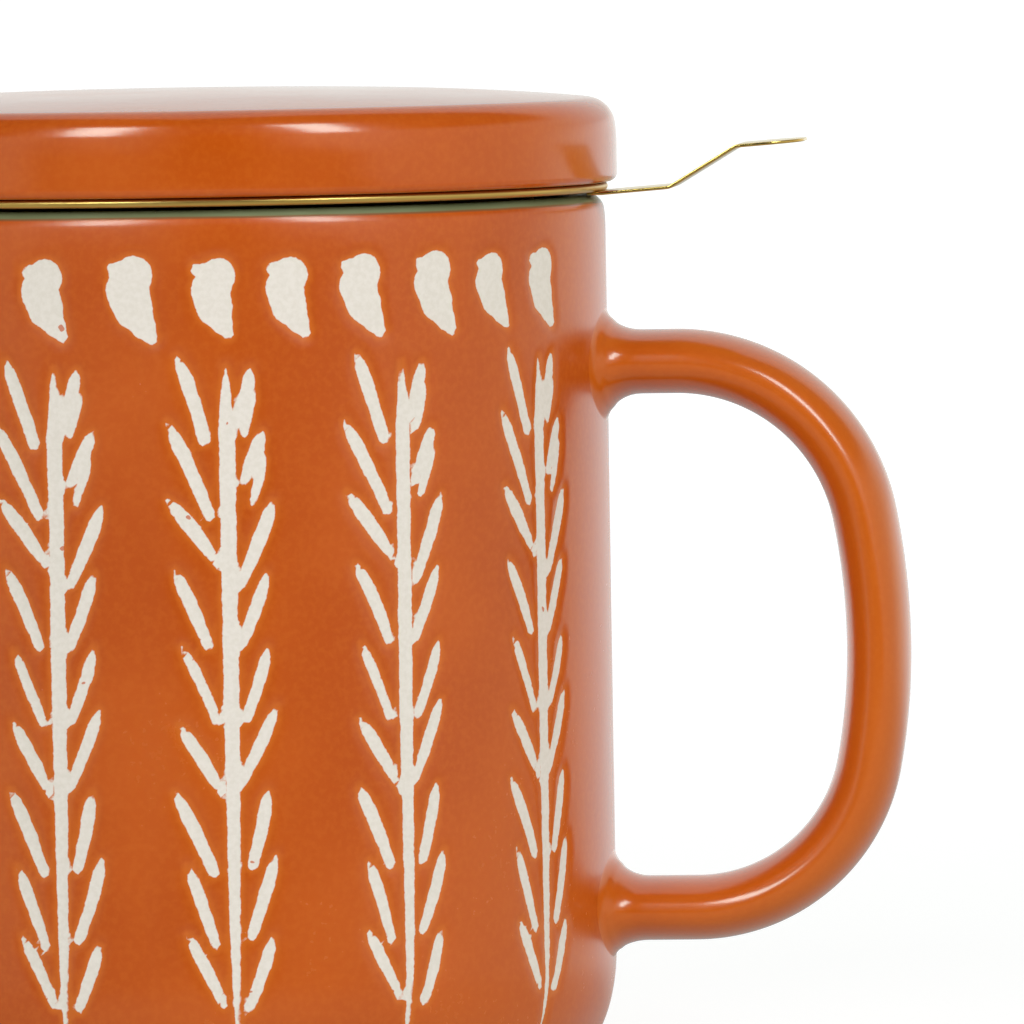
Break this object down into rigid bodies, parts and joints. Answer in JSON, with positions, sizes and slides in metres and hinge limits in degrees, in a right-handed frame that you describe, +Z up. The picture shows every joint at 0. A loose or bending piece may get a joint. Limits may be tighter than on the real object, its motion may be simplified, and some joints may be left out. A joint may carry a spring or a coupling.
{
  "type": "tea mug with infuser",
  "caption": "Straight-sided stoneware tea mug with a loop handle, a lift-out perforated metal infuser basket with a bent tab, and a loose flat lid that rests on the basket's rim.",
  "frame": {"origin": "middle of the mug's foot, on the table", "axes": "+Z up along the mug's axis, +X towards the handle and the infuser's tab"},
  "size_m": [0.1212, 0.0906, 0.1038],
  "materials": {
    "terracotta_glaze": "glossy orange-brown glaze with matt cream ornament",
    "gold_steel": "polished gold-coloured stainless steel"
  },
  "bodies": {
    "mug": {"mug_body": "terracotta_glaze", "mug_handle": "terracotta_glaze"},
    "infuser": {"infuser_rim": "gold_steel", "infuser_sleeve": "gold_steel", "infuser_floor": "gold_steel", "infuser_floor_hoop": "gold_steel", "infuser_tab": "gold_steel"},
    "lid": {"lid": "terracotta_glaze"}
  },
  "joints": [
    {"name": "infuser_lift", "type": "slide", "parent": "mug", "child": "infuser", "axis": [0, 0, 1], "range_m": [0, 0.08]},
    {"name": "lid_lift", "type": "slide", "parent": "infuser", "child": "lid", "axis": [0, 0, 1], "range_m": [0, 0.04]}
  ]
}
